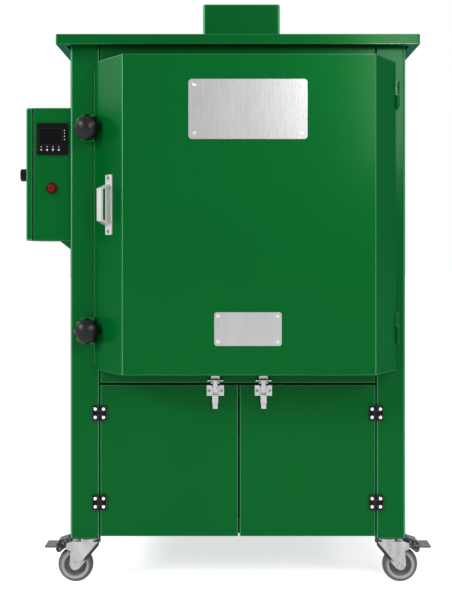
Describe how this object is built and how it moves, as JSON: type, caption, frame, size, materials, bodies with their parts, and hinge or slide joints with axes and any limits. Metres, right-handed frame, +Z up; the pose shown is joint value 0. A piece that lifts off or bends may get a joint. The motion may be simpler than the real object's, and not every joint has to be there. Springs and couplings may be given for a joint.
{
  "type": "ceramic kiln",
  "caption": "Front-loading ceramic kiln in a folded steel casing on casters, with a clamped hollow door, side control box, vent hood and lower cabinet.",
  "frame": {"origin": "on the floor, at the middle of the whole object's footprint", "axes": "+Z up, the front of the kiln looks along -Y, its control box is on the -X side"},
  "size_m": [1.1723, 1.0831, 1.706],
  "materials": {
    "green_enamel": "satin",
    "black_enamel": "satin",
    "firebrick": "matte",
    "ceramic_fibre": "matte",
    "element_wire": "matte",
    "porcelain": "satin",
    "heat_steel": "satin",
    "bare_aluminium": "satin",
    "rivet_metal": "satin",
    "handle_metal": "satin",
    "zinc_plate": "satin",
    "moulded_black": "satin",
    "device_grey": "matte",
    "pedal_black": "matte",
    "seal_black": "matte",
    "lamp_red": "gloss",
    "grey_tread": "matte"
  },
  "bodies": {
    "casing": {"base_frame": "green_enamel", "chamber_deck": "green_enamel", "left_side_panel": "green_enamel", "right_side_panel": "green_enamel", "front_panel": "green_enamel", "rear_panel": "green_enamel", "top_plate": "green_enamel", "vent_hood": "green_enamel", "vent_tube": "heat_steel", "chamber_bricks": "firebrick", "fibre_backing": "ceramic_fibre", "heating_elements": "element_wire", "element_terminals": "porcelain", "thermocouple": "heat_steel", "frame_hinge_knuckles": "green_enamel", "frame_hinge_leaves": "black_enamel", "latch_keepers": "zinc_plate", "caster_plates": "zinc_plate", "control_box": "green_enamel", "temperature_controller": "moulded_black", "pilot_lamp": "lamp_red", "mounting_board": "zinc_plate", "switchgear": "device_grey", "supply_gland": "moulded_black"},
    "main_door": {"door_shell": "green_enamel", "door_back_frame": "green_enamel", "door_bricks": "firebrick", "door_fibre": "ceramic_fibre", "door_gasket": "ceramic_fibre", "door_handle": "handle_metal", "name_plates": "bare_aluminium", "plate_rivets": "rivet_metal"},
    "control_lid": {"control_lid": "green_enamel", "lid_gasket": "seal_black", "switch_body": "device_grey"},
    "switch_knob": {"switch_knob": "moulded_black"},
    "upper_clamp_washer": {"upper_clamp_washer": "zinc_plate"},
    "upper_clamp_knob": {"upper_clamp_knob": "moulded_black"},
    "lower_clamp_washer": {"lower_clamp_washer": "zinc_plate"},
    "lower_clamp_knob": {"lower_clamp_knob": "moulded_black"},
    "left_cabinet_door": {"left_cabinet_door": "green_enamel", "left_hinge_leaves": "black_enamel", "left_latch_base": "zinc_plate"},
    "left_latch_lever": {"left_latch_lever": "zinc_plate"},
    "left_latch_bolt": {"left_latch_bolt": "zinc_plate"},
    "right_cabinet_door": {"right_cabinet_door": "green_enamel", "right_hinge_leaves": "black_enamel", "right_latch_base": "zinc_plate"},
    "right_latch_lever": {"right_latch_lever": "zinc_plate"},
    "right_latch_bolt": {"right_latch_bolt": "zinc_plate"},
    "front_left_fork": {"front_left_fork": "zinc_plate"},
    "front_left_wheel": {"front_left_wheel": "grey_tread"},
    "front_left_brake_pedal": {"front_left_brake_pedal": "pedal_black"},
    "front_right_fork": {"front_right_fork": "zinc_plate"},
    "front_right_wheel": {"front_right_wheel": "grey_tread"},
    "front_right_brake_pedal": {"front_right_brake_pedal": "pedal_black"},
    "rear_left_fork": {"rear_left_fork": "zinc_plate"},
    "rear_left_wheel": {"rear_left_wheel": "grey_tread"},
    "rear_right_fork": {"rear_right_fork": "zinc_plate"},
    "rear_right_wheel": {"rear_right_wheel": "grey_tread"}
  },
  "joints": [
    {"name": "main_door_hinge", "type": "hinge", "parent": "casing", "child": "main_door", "pos_m": [0.483, -0.414, 1.038], "axis": [0, 0, 1], "range_deg": [0, 110]},
    {"name": "control_lid_hinge", "type": "hinge", "parent": "casing", "child": "control_lid", "pos_m": [-0.538, -0.153, 1.1575], "axis": [0, 0, -1], "range_deg": [0, 110]},
    {"name": "switch_turn", "type": "hinge", "parent": "control_lid", "child": "switch_knob", "pos_m": [-0.568, -0.309, 1.16], "axis": [-1, 0, 0], "range_deg": [0, 90]},
    {"name": "upper_clamp_travel", "type": "slide", "parent": "main_door", "child": "upper_clamp_washer", "axis": [0, -1, 0], "range_m": [0, 0.0211]},
    {"name": "upper_clamp_spin", "type": "hinge", "parent": "upper_clamp_washer", "child": "upper_clamp_knob", "pos_m": [-0.376, -0.449, 1.281], "axis": [0, -1, 0], "range_deg": [0, 4320]},
    {"name": "lower_clamp_travel", "type": "slide", "parent": "main_door", "child": "lower_clamp_washer", "axis": [0, -1, 0], "range_m": [0, 0.0211]},
    {"name": "lower_clamp_spin", "type": "hinge", "parent": "lower_clamp_washer", "child": "lower_clamp_knob", "pos_m": [-0.376, -0.449, 0.721], "axis": [0, -1, 0], "range_deg": [0, 4320]},
    {"name": "left_cabinet_hinge", "type": "hinge", "parent": "casing", "child": "left_cabinet_door", "pos_m": [-0.349, -0.404, 0.363], "axis": [0, 0, -1], "range_deg": [0, 110]},
    {"name": "left_latch_pivot", "type": "hinge", "parent": "left_cabinet_door", "child": "left_latch_lever", "pos_m": [-0.025, -0.411, 0.561], "axis": [-1, 0, 0], "range_deg": [0, 100]},
    {"name": "left_bolt_pivot", "type": "hinge", "parent": "left_latch_lever", "child": "left_latch_bolt", "pos_m": [-0.025, -0.413, 0.546], "axis": [-1, 0, 0], "range_deg": [-100, 0]},
    {"name": "right_cabinet_hinge", "type": "hinge", "parent": "casing", "child": "right_cabinet_door", "pos_m": [0.425, -0.404, 0.363], "axis": [0, 0, 1], "range_deg": [0, 110]},
    {"name": "right_latch_pivot", "type": "hinge", "parent": "right_cabinet_door", "child": "right_latch_lever", "pos_m": [0.1095, -0.411, 0.561], "axis": [-1, 0, 0], "range_deg": [0, 100]},
    {"name": "right_bolt_pivot", "type": "hinge", "parent": "right_latch_lever", "child": "right_latch_bolt", "pos_m": [0.1095, -0.413, 0.546], "axis": [-1, 0, 0], "range_deg": [-100, 0]},
    {"name": "front_left_swivel", "type": "hinge", "parent": "casing", "child": "front_left_fork", "pos_m": [-0.389, -0.344, 0.12], "axis": [0, 0, 1], "continuous": true},
    {"name": "front_left_roll", "type": "hinge", "parent": "front_left_fork", "child": "front_left_wheel", "pos_m": [-0.424, -0.344, 0.05], "axis": [0, 1, 0], "continuous": true},
    {"name": "front_left_brake", "type": "hinge", "parent": "front_left_fork", "child": "front_left_brake_pedal", "pos_m": [-0.43, -0.344, 0.108], "axis": [0, -1, 0], "range_deg": [0, 6]},
    {"name": "front_right_swivel", "type": "hinge", "parent": "casing", "child": "front_right_fork", "pos_m": [0.465, -0.344, 0.12], "axis": [0, 0, 1], "continuous": true},
    {"name": "front_right_roll", "type": "hinge", "parent": "front_right_fork", "child": "front_right_wheel", "pos_m": [0.5, -0.344, 0.05], "axis": [0, 1, 0], "continuous": true},
    {"name": "front_right_brake", "type": "hinge", "parent": "front_right_fork", "child": "front_right_brake_pedal", "pos_m": [0.506, -0.344, 0.108], "axis": [0, 1, 0], "range_deg": [0, 6]},
    {"name": "rear_left_swivel", "type": "hinge", "parent": "casing", "child": "rear_left_fork", "pos_m": [-0.389, 0.446, 0.12], "axis": [0, 0, 1], "continuous": true},
    {"name": "rear_left_roll", "type": "hinge", "parent": "rear_left_fork", "child": "rear_left_wheel", "pos_m": [-0.424, 0.446, 0.05], "axis": [0, 1, 0], "continuous": true},
    {"name": "rear_right_swivel", "type": "hinge", "parent": "casing", "child": "rear_right_fork", "pos_m": [0.465, 0.446, 0.12], "axis": [0, 0, 1], "continuous": true},
    {"name": "rear_right_roll", "type": "hinge", "parent": "rear_right_fork", "child": "rear_right_wheel", "pos_m": [0.5, 0.446, 0.05], "axis": [0, 1, 0], "continuous": true}
  ],
  "couplings": [
    {"joint": "upper_clamp_travel", "follows": "upper_clamp_spin", "m_per_rad": 0.00027852},
    {"joint": "lower_clamp_travel", "follows": "lower_clamp_spin", "m_per_rad": 0.00027852},
    {"joint": "left_bolt_pivot", "follows": "left_latch_pivot", "ratio": -1},
    {"joint": "right_bolt_pivot", "follows": "right_latch_pivot", "ratio": -1}
  ]
}
